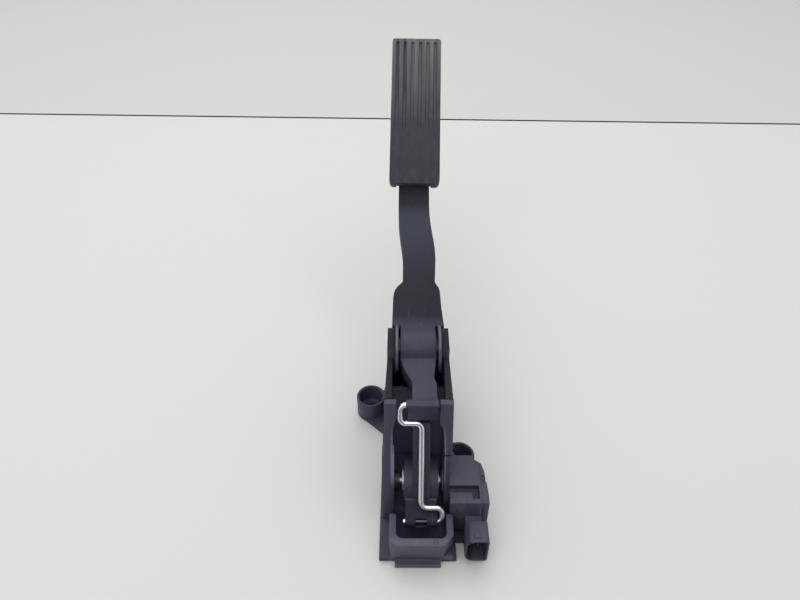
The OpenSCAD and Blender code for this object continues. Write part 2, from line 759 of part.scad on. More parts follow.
// The drum, its tail behind the link and the tube that the link's lower pin turns in
module drum() {
    color([0.13, 0.13, 0.15]) difference() {
        union() {
            rod_x(drum_x[0], drum_x[1], drum_d / 2, axle);
            drum_tail();
            along_x(tube_x[0], tube_x[1])
                polygon([axle + [-6, 9], crank + [0, 3.2], crank + [0, -3.2], axle + [-6, -9]]);
            rod_x(tube_x[0], tube_x[1], tube_d / 2, crank);
        }
        rod_x(drum_x[0] - 1, drum_x[1] + 1, axle_d / 2 + seat_gap, axle);
        rod_x(tube_x[0] - 1, tube_x[1] + 1, wire_r + pin_gap, crank);
        box([link_x - 3.6, crank[0] - tube_d, crank[1] - 1.1], [link_x + 3.6, crank[0], crank[1] + tube_d]);
    }
}

module drum_tail() {
    front = tail_offset - wire_r - tail_gap;
    reach = block_z[0] - axle[1];
    translate([0, axle[0], axle[1]]) rotate([-link_tilt, 0, 0]) {
        box([tail_x[0], -front, -4], [tail_x[1], -front + tail_t, reach - 7]);
        along_x(link_x - 1.6, link_x + 1.6)
            polygon([[-front + 1, 0], [-front + 1, reach - 14], [-front + tail_t + 2, reach - 14], [0, 10], [0, 0]]);
    }
}

module drum_axle() {
    color("silver") difference() {
        rod_x(-axle_clip_x - clip_t - 1.2, sensor_x + 10.2, axle_d / 2, axle);
        ring_x(-axle_clip_x - clip_t - 0.1, -axle_clip_x, axle_d / 2 + 1, axle_d / 2 - clip_grip, axle);
    }
}

module axle_clip() {
    mirror([1, 0, 0]) e_clip(axle_clip_x, axle_d / 2, axle);
}

module axle_bush(side) {
    face = wall_in - axle_boss_t;
    flange_t = axle_flange_t[side < 0 ? 0 : 1];
    color([0.1, 0.1, 0.11]) mirror([side < 0 ? 1 : 0, 0, 0]) difference() {
        union() {
            rod_x(face - eps, wall_out, axle_bush_or, axle);
            rod_x(face - flange_t, face, axle_bush_or + 2, axle);
        }
        rod_x(face - flange_t - 1, wall_out + 1, axle_d / 2 + run_gap, axle);
    }
}

module drum_disc_left() {
    color("silver") ring_x(drum_x[0] - drum_disc_t, drum_x[0], 10.5, axle_d / 2 + seat_gap, axle);
}

module drum_disc_right() {
    color("silver") ring_x(drum_x[1], drum_x[1] + drum_disc_t, 8, axle_d / 2 + seat_gap, axle);
}

// A compression spring with a closed turn at each end, as one swept tube
module coil_spring(mean_r, wire, turns, from_z, to_z) {
    sides = 6;
    rings = 14;
    steps = turns * rings;
    rise = to_z - from_z - wire;
    function height(i) =
        let (t = i / rings, dead = wire * 1.04, live = (rise - 2 * dead) / (turns - 2))
        t < 1 ? dead * t : t > turns - 1 ? rise - dead * (turns - t) : dead + live * (t - 1);
    points = [for (i = [0 : steps], k = [0 : sides - 1])
        let (a = 360 * i / rings, b = 360 * k / sides, r = mean_r + wire / 2 * cos(b))
        [r * cos(a), r * sin(a), from_z + wire / 2 + height(i) + wire / 2 * sin(b)]];
    walls = [for (i = [0 : steps - 1], k = [0 : sides - 1])
        let (n = (k + 1) % sides, low = i * sides, high = low + sides)
        [low + k, low + n, high + n, high + k]];
    polyhedron(points, concat(walls, [[for (k = [sides - 1 : -1 : 0]) k]],
        [[for (k = [0 : sides - 1]) steps * sides + k]]), convexity = 10);
}

module outer_spring() {
    color("dimgray") translate([0, spring_back, 0])
        coil_spring(outer_spring_d / 2, outer_spring_wire, spring_turns, spring_foot_h, spring_top_h);
}

module inner_spring() {
    color("dimgray") translate([0, spring_back, 0])
        coil_spring(inner_spring_d / 2, inner_spring_wire, spring_turns, spring_foot_h, spring_top_h);
}

// The cup on top of the springs, which pushes the root of the arm up
module spring_seat() {
    color([0.85, 0.85, 0.8]) translate([0, spring_back, 0]) {
        translate([0, 0, spring_top_h]) cylinder(h = 3, r = outer_spring_d / 2 + outer_spring_wire / 2 + 1);
        translate([0, 0, spring_top_h - 5]) cylinder(h = 6, r = inner_spring_d / 2 - inner_spring_wire / 2 - 0.6);
        translate([0, 0, spring_top_h]) cylinder(h = root_top - root_plate_t - spring_top_h, r = seat_stem_r);
    }
}

module idle_bumper() {
    color([0.15, 0.15, 0.15])
        box([lever_x[0] + 1.5, stop_web_y - bumper_lap, idle_stop_z],
            [lever_x[1] - 1.6, stop_web_y + web_t + bumper_lap, lever_under - side_gap]);
}

module travel_bumper() {
    color([0.15, 0.15, 0.15])
        box([-bumper_half, rear_top[0] - web_t - bumper_lap, travel_stop_z],
            [bumper_half, rear_top[0] + bumper_lap, root_top - root_drop]);
}

// Plan view of the sensor housing, whose far outer corner is cut back
module sensor_plan() {
    polygon([[sensor_x, sensor_y[0]], [cover_x, sensor_y[0]], [cover_x, sensor_y[1] - 5.5],
        [cover_x - 3.2, sensor_y[1] - 3.4], [cover_x - 4, sensor_y[1]], [sensor_x, sensor_y[1]]]);
}

// The outline of the connector, rounder towards the middle of the part, drawn in by an inset
module plug_outline(inset) {
    low = [plug_x - plug_w / 2 + inset, plug_z + inset];
    high = [plug_x + plug_w / 2 - inset, plug_z + plug_h - inset];
    near = plug_r - inset;
    far = plug_far_r - inset;
    for (z = [low[1] + near, high[1] - near]) translate([low[0] + near, z]) circle(near);
    for (z = [low[1] + far, high[1] - far]) translate([high[0] - far, z]) circle(far);
    translate([low[0], low[1] + near]) square([high[0] - low[0] - far, high[1] - low[1] - 2 * near]);
    translate([low[0] + near, low[1]]) square([high[0] - low[0] - near - far, high[1] - low[1]]);
    translate([low[0] + near, low[1] + far]) square([high[0] - low[0] - near, high[1] - low[1] - 2 * far]);
}

module along_y(from, to) {
    translate([0, to, 0]) rotate([90, 0, 0]) linear_extrude(to - from) children();
}

pin_places = [for (i = [0, 1], k = [0 : 2]) [plug_x - 2.6 + 4.2 * i, 8.2 + 2.6 * i + 5.2 * k]];
neck_h = 22;

module terminal_bars(grow) {
    for (place = pin_places) {
        box([place[0] - pin_w / 2 - grow, plug_y[0] + 7, place[1] - pin_t / 2 - grow],
            [place[0] + pin_w / 2 + grow, sensor_y[0] + 4.2 + grow, place[1] + pin_t / 2 + grow]);
    }
}

module sensor_housing() {
    color([0.125, 0.13, 0.145]) difference() {
        union() {
            translate([0, 0, sensor_z]) linear_extrude(sensor_top - sensor_z) sensor_plan();
            along_y(plug_y[0], plug_y[1]) plug_outline(0);
            box([plug_x - 6.4, plug_y[1] - 1, 5], [cover_x, sensor_y[0] + 1, neck_h]);
            box([plug_x - 2, plug_y[0] + 2.4, plug_z + plug_h - 1], [plug_x + 2, plug_y[0] + 5, plug_z + plug_h + 1.1]);
        }
        box([sensor_x + 4, sensor_y[0] + sensor_wall, sensor_z + sensor_wall],
            [cover_x + 1, sensor_y[1] - 7, sensor_top - roof_t]);
        box([sensor_x + 4, sensor_y[1] - 8, axle[1] - rotor_r - 0.6],
            [sensor_x + 12, axle[0] + rotor_r + 0.6, sensor_top - roof_t]);
        along_y(plug_y[0] - 1, plug_y[0] + plug_depth) plug_outline(plug_wall);
        terminal_bars(seat_gap);
        rod_x(sensor_x - 1, sensor_x + 5, rotor_hub_r + side_gap, axle);
        ring_x(sensor_x - 1, sensor_x + seal_t, seal_r[1], seal_r[0], axle);
        for (place = screw_places) rod_x(sensor_x - 1, cover_x + 1, screw_r + seat_gap, place);
        roof_groove();
    }
}

// The angled groove in the sensor's top face
module roof_groove() {
    depth = 3.6;
    box([sensor_x - 1, sensor_y[0] + 7.9, sensor_top - depth],
        [sensor_x + 19, sensor_y[0] + 13, sensor_top + 1]);
    box([sensor_x + 14.5, sensor_y[0] + 3.5, sensor_top - depth],
        [sensor_x + 19, sensor_y[0] + 9, sensor_top + 1]);
}

module sensor_cover() {
    color([0.12, 0.12, 0.135]) difference() {
        union() {
            translate([0, 0, sensor_z]) linear_extrude(sensor_top - sensor_z)
                polygon([[cover_x, sensor_y[0]], [cover_x + cover_t, sensor_y[0]],
                    [cover_x + cover_t, sensor_y[0] + 6], [cover_x + cover_t - 0.5, sensor_y[0] + 14],
                    [cover_x + cover_t - 1.5, sensor_y[1] - 12], [cover_x + 1.2, sensor_y[1] - 6.4],
                    [cover_x, sensor_y[1] - 5.7]]);
        }
        for (place = screw_places) {
            rod_x(cover_x - 1, cover_x + 9, screw_r + seat_gap, place);
            rod_x(screw_seat_x, cover_x + 9, screw_r + 1.7, place);
        }
    }
}

module sensor_screws() {
    color("silver") for (place = screw_places) {
        rod_x(wall_in + 0.4, screw_seat_x + eps, screw_r, place);
        rod_x(screw_seat_x, screw_seat_x + 2, screw_r + 1.4, place);
    }
}

module sensor_seal() {
    color([0.35, 0.12, 0.1]) ring_x(sensor_x, sensor_x + seal_t - seat_gap, seal_r[1] - seat_gap, seal_r[0] + seat_gap, axle);
}

module sensor_rotor() {
    color([0.85, 0.85, 0.8]) difference() {
        union() {
            rod_x(sensor_x + 0.6, sensor_x + 10.6, rotor_hub_r, axle);
            rod_x(sensor_x + 7.6, sensor_x + 10.6, rotor_r, axle);
        }
        rod_x(sensor_x, sensor_x + 10.2 + eps, axle_d / 2 + seat_gap, axle);
    }
}

// The sprung fingers on the rotor, which reach to the board's tracks
module wiper_contacts() {
    base = sensor_x + 10.6;
    tip = board_x - side_gap / 2;
    color("gold") for (z = [-6.6, 5.4])
        along_y(axle[0] - 2, axle[0] + 2)
            polygon([[base, axle[1] + z], [base + 0.4, axle[1] + z + 0.3], [tip, axle[1] + z * 0.55],
                [tip - 0.4, axle[1] + z * 0.55 + 0.8], [base, axle[1] + z + 1.2]]);
}

module circuit_board() {
    color([0.1, 0.35, 0.2])
        box([board_x, sensor_y[0] + sensor_wall + 0.4, sensor_z + sensor_wall + 0.3],
            [board_x + board_t, sensor_y[1] - 7.4, sensor_top - roof_t - 0.3]);
}

module terminals() {
    color("gold") {
        terminal_bars(0);
        for (place = pin_places)
            box([place[0] - pin_w / 2, sensor_y[0] + 3, place[1] - pin_t / 2],
                [board_x, sensor_y[0] + 4.2, place[1] + pin_t / 2]);
    }
}

housing();
bolt_sleeve(-left_boss_x, left_boss_y);  // bolt_sleeve_left
bolt_sleeve(right_boss_x, -right_boss_y);  // bolt_sleeve_right
pedal_arm();
pad_rubber();
pivot_shaft();
pivot_bush(-1);  // pivot_bush_left
pivot_bush(1);  // pivot_bush_right
friction_disc(-1);  // friction_disc_left
friction_disc(1);  // friction_disc_right
shaft_clip(-1);  // shaft_clip_left
shaft_clip(1);  // shaft_clip_right
link_wire();
drum();
drum_axle();
axle_bush(-1);  // axle_bush_left
axle_bush(1);  // axle_bush_right
drum_disc_left();
drum_disc_right();
axle_clip();
outer_spring();
inner_spring();
spring_seat();
idle_bumper();
travel_bumper();
sensor_housing();
sensor_cover();
sensor_seal();
sensor_rotor();
wiper_contacts();
circuit_board();
terminals();
sensor_screws();
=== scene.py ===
# %% [markdown]
# # An accelerator pedal, dressed in Blender
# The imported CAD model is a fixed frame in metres. Z = 0 is the table, +Y runs from the pivot
# to the pad and +X points to the sensor. This lesson dresses that frame: some nodes get a
# finer piece in their place, and every surface gets a finish made of nodes.

# %% The frame and its box
import json
import math

import bpy
from mathutils import Matrix, Vector
from mathutils.bvhtree import BVHTree

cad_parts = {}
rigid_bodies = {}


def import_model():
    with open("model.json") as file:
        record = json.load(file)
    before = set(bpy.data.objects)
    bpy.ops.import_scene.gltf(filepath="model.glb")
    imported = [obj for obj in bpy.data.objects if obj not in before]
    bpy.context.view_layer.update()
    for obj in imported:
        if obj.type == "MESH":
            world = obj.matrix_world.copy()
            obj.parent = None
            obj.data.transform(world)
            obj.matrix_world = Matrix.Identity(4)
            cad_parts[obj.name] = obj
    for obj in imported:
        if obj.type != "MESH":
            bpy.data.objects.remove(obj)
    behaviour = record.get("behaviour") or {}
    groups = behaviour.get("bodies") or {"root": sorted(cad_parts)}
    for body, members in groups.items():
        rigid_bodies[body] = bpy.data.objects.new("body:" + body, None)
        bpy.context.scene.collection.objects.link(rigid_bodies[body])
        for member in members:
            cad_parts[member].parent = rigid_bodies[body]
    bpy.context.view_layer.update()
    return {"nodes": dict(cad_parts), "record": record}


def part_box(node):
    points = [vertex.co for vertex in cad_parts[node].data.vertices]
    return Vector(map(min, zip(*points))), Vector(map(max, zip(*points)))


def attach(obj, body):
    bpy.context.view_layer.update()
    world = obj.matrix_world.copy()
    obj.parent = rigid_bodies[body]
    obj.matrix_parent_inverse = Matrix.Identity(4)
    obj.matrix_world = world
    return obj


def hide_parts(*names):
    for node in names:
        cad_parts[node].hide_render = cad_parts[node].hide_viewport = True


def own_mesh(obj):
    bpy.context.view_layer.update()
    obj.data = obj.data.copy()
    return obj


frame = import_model()
MM = 0.001

# %% [markdown]
# ## The camera
# The photograph was taken from above the pedal's front, 41 degrees down. A lens of 28.8 mm on
# a 36 mm sensor gives the same perspective, found by fitting the straight edges.

# %% The camera
CAMERA_PLACE = (-0.0102, -0.302, 0.400)
CAMERA_TILT, CAMERA_HEADING = 49, 0.355
LENS_MM, SENSOR_MM = 28.8, 36
bpy.ops.object.camera_add(location=CAMERA_PLACE,
                          rotation=(math.radians(CAMERA_TILT), 0, math.radians(CAMERA_HEADING)))
camera = bpy.context.active_object
camera.name = "camera"
camera.data.lens = LENS_MM
camera.data.sensor_width = SENSOR_MM
camera.data.dof.use_dof = False
camera.data.clip_start = 0.01
bpy.context.scene.camera = camera
bpy.context.scene.view_settings.view_transform = "Standard"
print("camera at", list(camera.location))

# %% [markdown]
# ## Shader maths as Python
# A finish is easier to read as a sum than as a drawing of boxes. `Wire` wraps one output
# socket, so that `1 - mask` adds a Math node.

# %% A socket that can be added and multiplied
class Wire:
    def __init__(self, finish, socket):
        self.finish, self.socket = finish, socket

    def maths(self, operation, first, second):
        made = self.finish.node("ShaderNodeMath", {"operation": operation}, {0: first, 1: second})
        return Wire(self.finish, made.outputs[0])

    def __add__(self, other):
        return self.maths("ADD", self, other)

    def __radd__(self, other):
        return self.maths("ADD", other, self)

    def __sub__(self, other):
        return self.maths("SUBTRACT", self, other)

    def __rsub__(self, other):
        return self.maths("SUBTRACT", other, self)

    def __mul__(self, other):
        return self.maths("MULTIPLY", self, other)

    def __rmul__(self, other):
        return self.maths("MULTIPLY", other, self)

    def __abs__(self):
        return self.maths("ABSOLUTE", self, 0.0)


print("wires add, subtract, multiply and take abs")

# %% [markdown]
# ## One material and its nodes
# `Finish` holds one material. Its `node` method adds any node: settings first, and then the
# sockets. The masks `below`, `above` and `close` pick a place on the object in millimetres,
# each with the width of its soft edge. A ramp only reaches from 0 to 1, so a length is first
# divided by the longest one that a mask needs.

# %% The finish
RAMP_REACH = 200


def shade(red, green, blue):
    return (red, green, blue, 1)


class Finish:
    def __init__(self, name):
        self.material = bpy.data.materials.new(name)
        self.material.use_nodes = True
        self.tree = self.material.node_tree
        self.tree.nodes.clear()
        output = self.tree.nodes.new("ShaderNodeOutputMaterial")
        self.shader = self.tree.nodes.new("ShaderNodeBsdfPrincipled")
        self.tree.links.new(self.shader.outputs["BSDF"], output.inputs["Surface"])
        self.place = self.wire("ShaderNodeTexCoord", {}, {}, "Object")

    def node(self, kind, settings, sockets):
        made = self.tree.nodes.new(kind)
        for key, value in settings.items():
            if key == "stops":
                for element, (at, grey) in zip(made.color_ramp.elements, value):
                    element.position, element.color = at, shade(grey, grey, grey)
            else:
                setattr(made, key, value)
        for key, value in sockets.items():
            self.feed(made.inputs[key], value)
        return made

    def feed(self, socket, value):
        if isinstance(value, Wire):
            self.tree.links.new(value.socket, socket)
        else:
            socket.default_value = value

    def wire(self, kind, settings, sockets, output):
        return Wire(self, self.node(kind, settings, sockets).outputs[output])

    def stretched(self, along):
        return self.wire("ShaderNodeMapping", {}, {"Vector": self.place, "Scale": along}, "Vector")

    def noise(self, scale, detail, place=None):
        return self.wire("ShaderNodeTexNoise", {}, {"Vector": place or self.place, "Scale": scale,
                         "Detail": detail, "Roughness": 0.55}, "Fac")

    def cells(self, scale, feature="F1"):
        return self.wire("ShaderNodeTexVoronoi", {"feature": feature},
                         {"Vector": self.place, "Scale": scale}, "Distance")

    def stepped(self, value, *stops):
        return self.wire("ShaderNodeValToRGB", {"stops": stops}, {"Fac": value}, "Color")

    def facing_up(self):
        normal = self.wire("ShaderNodeTexCoord", {}, {}, "Normal")
        parts = self.node("ShaderNodeSeparateXYZ", {}, {0: normal})
        return self.stepped(Wire(self, parts.outputs["Z"]), (0.35, 0), (0.95, 1))

    def axis(self, name, middle=0.0):
        parts = self.node("ShaderNodeSeparateXYZ", {}, {0: self.place})
        return Wire(self, parts.outputs[name]) - middle * MM

    def forward(self):
        return self.axis("Y") * -1

    def below(self, value, limit, soft):
        start, end = (limit - soft) / RAMP_REACH, limit / RAMP_REACH
        return self.stepped(value * (1 / MM) * (1 / RAMP_REACH), (start, 1), (end, 0))

    def above(self, value, limit, soft):
        return 1 - self.below(value, limit, soft)

    def close(self, name, middle, reach, soft):
        return self.below(abs(self.axis(name, middle)), reach, soft)

    def along(self, name, start, end, uneven, first=0.0):
        part = self.axis(name, start) * (1 / ((end - start) * MM))
        return self.stepped(part + uneven, (first, 0), (1, 1))

    def blended(self, mask, first, second):
        made = self.node("ShaderNodeMix", {"data_type": "RGBA"}, {0: mask, 6: first, 7: second})
        return Wire(self, made.outputs[2])

    def set(self, **sockets):
        for key, value in sockets.items():
            self.feed(self.shader.inputs[key.replace("_", " ")], value)

    def relief(self, height, distance):
        self.set(Normal=self.wire("ShaderNodeBump", {}, {"Height": height, "Distance": distance,
                                  "Strength": 1.0}, "Normal"))


print("masks reach", RAMP_REACH, "mm")

# %% [markdown]
# ## Moulded plastic
# The housing, the sensor and the arm are glass-filled nylon. Its skin has a fine spark-eroded
# grain, faint streaks where the fibres float at the surface, cloudy patches from the mould,
# grey dust on what faces up, and pale scuffs from handling. A mark is a function that changes
# the colour and the gloss of one place, so that each moulding gets only its own marks.

# %% The plain plastic
CLOUDS, FIBRES, GRIT, SCUFFS, DUST_PATCHES = 45, 900, 1400, 420, 28
FIBRE_RUN, SCUFF_RUN = (1, 0.12, 1), (1, 0.10, 0.35)
DUST_SHADE, GRIT_SHADE = shade(0.30, 0.30, 0.29), shade(0.22, 0.22, 0.22)
PLASTIC_RELIEF = 0.00006


def moulded_plastic(name, dark, pale, grain, gloss, dust, sheen=0.4, marks=()):
    finish = Finish(name)
    clouds = finish.noise(CLOUDS, 4)
    fibres = finish.noise(FIBRES, 2, finish.stretched(FIBRE_RUN))
    grit = finish.stepped(finish.noise(GRIT, 1), (0.60, 0), (0.72, 1))
    scuffs = finish.stepped(finish.noise(SCUFFS, 2, finish.stretched(SCUFF_RUN)),
                            (0.64, 0), (0.74, 1))
    patches = finish.stepped(finish.noise(DUST_PATCHES, 5), (0.35, 0.25), (0.75, 1))
    settled = finish.facing_up() * patches
    body = finish.blended(clouds * 0.6 + fibres * 0.4, shade(*dark), shade(*pale))
    rough = gloss + clouds * 0.10 + settled * 0.12 - fibres * 0.05
    for mark in marks:
        body, rough = mark(finish, clouds, body, rough)
    dusted = finish.blended(settled * dust + scuffs * 0.05, body, DUST_SHADE)
    specked = finish.blended(grit * 0.10, dusted, GRIT_SHADE)
    finish.set(Base_Color=specked, Roughness=rough, Specular_IOR_Level=sheen)
    finish.relief(finish.noise(grain, 2) * 0.7 + finish.cells(grain * 0.6) * 0.3
                  + clouds * 0.4, PLASTIC_RELIEF)
    return finish.material


friction_plastic = moulded_plastic("friction_plastic", (0.062, 0.062, 0.084),
                                   (0.094, 0.094, 0.122), 2600, 0.22, 0.05)
bush_plastic = moulded_plastic("bush_plastic", (0.020, 0.020, 0.024),
                               (0.030, 0.030, 0.036), 2400, 0.30, 0.02)
print("plain plastics", friction_plastic.name, bush_plastic.name)

# %% [markdown]
# ## The housing's marks
# The well between the side walls is painted pale, a painted light. Painted shade lies as dark
# lines round the foot, at the rims of the bolt bosses and in the step of the deck. The tops of the
# ears, the mouth of the plug and the groove in the sensor's roof get painted shade and a flat
# gloss, and the front of the pocket is paler. Each pair below is a limit and its soft edge, in
# millimetres, and each triple starts with a middle.

# %% The housing's plastic
WELL_HALF, WELL_TOP, WELL_FRONT, WELL_BACK = (17.6, 0.2), (76, 16), (68, 3), (33, 1)
FOOT_TOP, FOOT_FRONT = (4.8, 0.6), (100.4, 0.5)
RIM_SIDE, RIM_LOW, RIM_HIGH = (23, 0.6), (17.6, 0.3), (18.4, 0.3)
STEP_BACK, STEP_FRONT, STEP_SIDE, STEP_TOP = (71.95, 0.1), (72.4, 0.2), (14, 1), (27, 0.5)
EARS_FOOT, EARS_FRONT = (84, 3), (41, 1)
PLUG_X, PLUG_Z, PLUG_BACK, PLUG_FRONT = (37, 6.3, 0.1), (15, 10.8, 0.1), (90, 2), (104.1, 0.2)
CUT_X, CUT_Y, CUT_Z = (30, 9.6, 0.1), (-72.2, 4.9, 0.1), (34.8, 1.9, 0.2)
POCKET_START, POCKET_X = (99, 3), (2, 21, 1)
WELL_PAINTED_LIGHT, LINE_PAINTED_SHADE = shade(0.18, 0.175, 0.26), shade(0.012, 0.0105, 0.030)
DIM_PAINTED_SHADE, POCKET_SHADE = shade(0.008, 0.0085, 0.012), shade(0.079, 0.076, 0.103)


# painted light: the well's inner faces are painted paler
def painted_light_well(finish, clouds, body, rough):
    near = (finish.close("X", 0, *WELL_HALF) * finish.below(finish.axis("Z"), *WELL_TOP)
            * finish.below(finish.forward(), *WELL_FRONT)
            * finish.below(finish.axis("Y"), *WELL_BACK))
    return finish.blended(near * (0.75 + clouds * 0.5), body, WELL_PAINTED_LIGHT), rough


# painted shade: dark lines at the foot, at the boss rims and in the deck's step
def painted_shade_lines(finish, clouds, body, rough):
    forward, height, outward = finish.forward(), finish.axis("Z"), abs(finish.axis("X"))
    foot = finish.below(height, *FOOT_TOP) * finish.below(forward, *FOOT_FRONT)
    rim = (finish.above(outward, *RIM_SIDE) * finish.above(height, *RIM_LOW)
           * finish.below(height, *RIM_HIGH))
    step = (finish.above(forward, *STEP_BACK) * finish.below(forward, *STEP_FRONT)
            * finish.above(outward, *STEP_SIDE) * finish.below(height, *STEP_TOP))
    return finish.blended(foot * 0.6 + rim * 0.7 + step * 0.7, body, LINE_PAINTED_SHADE), rough


# painted shade with a flatter gloss: the ear tops, the plug's mouth and the groove in the sensor's
# roof
def painted_shade_places(finish, clouds, body, rough):
    forward = finish.forward()
    ears = (finish.above(finish.axis("Z"), *EARS_FOOT) * finish.below(forward, *EARS_FRONT)
            * finish.facing_up())
    plug = (finish.close("X", *PLUG_X) * finish.close("Z", *PLUG_Z)
            * finish.above(forward, *PLUG_BACK) * finish.below(forward, *PLUG_FRONT))
    cut = finish.close("X", *CUT_X) * finish.close("Y", *CUT_Y) * finish.close("Z", *CUT_Z)
    shade_and_flat = ears * 0.9 + plug * 0.7 + cut * 0.6
    return finish.blended(shade_and_flat, body, DIM_PAINTED_SHADE), rough + shade_and_flat * 0.42


def rubbed_pocket(finish, clouds, body, rough):
    rubbed = finish.above(finish.forward(), *POCKET_START) * finish.close("X", *POCKET_X)
    return finish.blended(rubbed * (0.5 + clouds), body, POCKET_SHADE), rough


housing_plastic = moulded_plastic("housing_plastic", (0.038, 0.0377, 0.061),
                                  (0.058, 0.0575, 0.090), 3200, 0.44, 0.03, sheen=0.35,
                                  marks=(painted_light_well, painted_shade_lines, painted_shade_places, rubbed_pocket))
print("made", housing_plastic.name)

# %% [markdown]
# ## The arm's and the drum's marks
# The arm is painted darkest behind the hub, a painted shade, and a little paler again along the
# blade. The paler colour stops short of the pad, which leaves a painted shadow just below it. The
# drum's front is painted dark, a painted shade, and its gloss is flat there.

# %% The arm's and the drum's plastic
ARM_ROOT_SHADOW, DRUM_FRONT_SHADOW, BLADE = (12, 30), (-73, -75), (74, 140)
PAD_SHADOW_ON_BLADE = (150, 9)
ARM_ROOT_SHADOW_COLOUR, BLADE_SHADE = shade(0.005, 0.0048, 0.012), shade(0.026, 0.0272, 0.047)
DRUM_FRONT_SHADOW_COLOUR = shade(0.010, 0.0092, 0.024)


def darker(start, end, colour, flat):
    def mark(finish, clouds, body, rough):
        reach = finish.along("Y", start, end, clouds * 0.2)
        return finish.blended(reach, body, colour), rough + reach * flat
    return mark


def paler_blade(finish, clouds, body, rough):
    reach = finish.along("Y", *BLADE, clouds * 0.3) * finish.below(finish.axis("Y"), *PAD_SHADOW_ON_BLADE)
    return finish.blended(reach, body, BLADE_SHADE), rough


# painted shade behind the hub, and a painted shadow of the pad on the blade
arm_plastic = moulded_plastic("arm_plastic", (0.029, 0.0288, 0.050), (0.042, 0.0415, 0.070),
                              3600, 0.46, 0.04, sheen=0.26,
                              marks=(darker(*ARM_ROOT_SHADOW, ARM_ROOT_SHADOW_COLOUR, 0.16), paler_blade))
# painted shade at the drum's front, with a flatter gloss
drum_plastic = moulded_plastic("drum_plastic", (0.026, 0.025, 0.040), (0.040, 0.038, 0.060),
                               2800, 0.36, 0.04, sheen=0.3,
                               marks=(darker(*DRUM_FRONT_SHADOW, DRUM_FRONT_SHADOW_COLOUR, 0.35),))
print("made", arm_plastic.name, drum_plastic.name)

# %% [markdown]
# ## Rubber
# The pad's rubber is greyer and flatter than the plastic. Its upper part is paler in streaks, both
# where shoes have worn it and as a painted sheen on the top. Its foot is painted paler, a painted
# light on its lower edge, and two grooves at the left get painted shade. Its skin has a soft
# stipple with fine dirt in it. The bumpers and the seal stay hidden.

# %% The rubbers
PAD_FOOT, PAD_WEAR_AND_SHEEN = (126.4, 0.6), (160, 212)
SHADED_GROOVE_MIDS, SHADED_GROOVE_HALF = (-15.5, -9.3), (1.6, 0.4)
SHADED_GROOVE_START = (180, 9)
PAD_FOOT_PAINTED_LIGHT, PAD_WEAR_AND_SHEEN_COLOUR = shade(0.050, 0.051, 0.076), shade(0.150, 0.146, 0.146)
GROOVE_PAINTED_SHADE = shade(0.012, 0.012, 0.030)
SHOE_SHADE, DIRT_SHADE = shade(0.20, 0.20, 0.19), shade(0.16, 0.155, 0.14)
RUBBER_RELIEF = 0.00008


def pad_wear_and_painted_light(finish, clouds, body):
    # painted light: the pad's lower edge is painted paler
    body = finish.blended(finish.below(finish.axis("Z"), *PAD_FOOT) * 0.8, body, PAD_FOOT_PAINTED_LIGHT)
    # paler in streaks at the top: shoe wear, and a painted sheen
    reach = finish.along("Z", *PAD_WEAR_AND_SHEEN, clouds * 0.25, first=0.1)
    streaks = finish.stepped(finish.noise(240, 3, finish.stretched((1, 0.03, 0.03))),
                             (0.38, 0), (0.66, 1))
    body = finish.blended(reach * (0.45 + streaks * 0.55), body, PAD_WEAR_AND_SHEEN_COLOUR)
    # painted shade in two grooves at the left
    left, right = (finish.close("X", middle, *SHADED_GROOVE_HALF) for middle in SHADED_GROOVE_MIDS)
    shaded_grooves = (left + right) * finish.above(finish.axis("Z"), *SHADED_GROOVE_START)
    return finish.blended(shaded_grooves * (0.5 + clouds * 0.5), body, GROOVE_PAINTED_SHADE)


def moulded_rubber(name, dark, pale, rough, pad_marks=False):
    finish = Finish(name)
    clouds = finish.noise(38, 5)
    stipple = finish.noise(1900, 2)
    rubbed = finish.stepped(finish.noise(210, 3, finish.stretched((1, 0.10, 1))),
                            (0.50, 0), (0.72, 1))
    dirt = finish.stepped(finish.noise(520, 4), (0.58, 0), (0.70, 1))
    body = finish.blended(clouds, shade(*dark), shade(*pale))
    if pad_marks:
        body = pad_wear_and_painted_light(finish, clouds, body)
    worn = finish.blended(rubbed * 0.04, body, SHOE_SHADE)
    dirty = finish.blended(dirt * 0.04, worn, DIRT_SHADE)
    finish.set(Base_Color=dirty, Roughness=rough + clouds * 0.12 - rubbed * 0.08,
               Specular_IOR_Level=0.35)
    finish.relief(stipple * 0.8 + finish.cells(1300) * 0.4 + clouds * 0.3, RUBBER_RELIEF)
    return finish.material


pad_rubber = moulded_rubber("pad_rubber", (0.019, 0.019, 0.027), (0.028, 0.028, 0.038), 0.56,
                            pad_marks=True)
bumper_rubber = moulded_rubber("bumper_rubber", (0.014, 0.014, 0.014),
                               (0.024, 0.024, 0.024), 0.66)
seal_rubber = moulded_rubber("seal_rubber", (0.20, 0.028, 0.018), (0.26, 0.040, 0.026), 0.5)
print("rubbers", pad_rubber.name, bumper_rubber.name, seal_rubber.name)

# %% [markdown]
# ## Metals
# The link is drawn wire with a bright plating: fine draw marks run along it, the plating clouds a
# little, and its lower pin is darker and rougher. The shafts are turned, and the springs are dark
# and oiled.

# %% The metals
LOWER_PIN_X, LOWER_PIN_TOP = (2, 7, 1), (27, 2)
LOWER_PIN_COLOUR = shade(0.090, 0.088, 0.112)
METAL_RELIEF = 0.000002


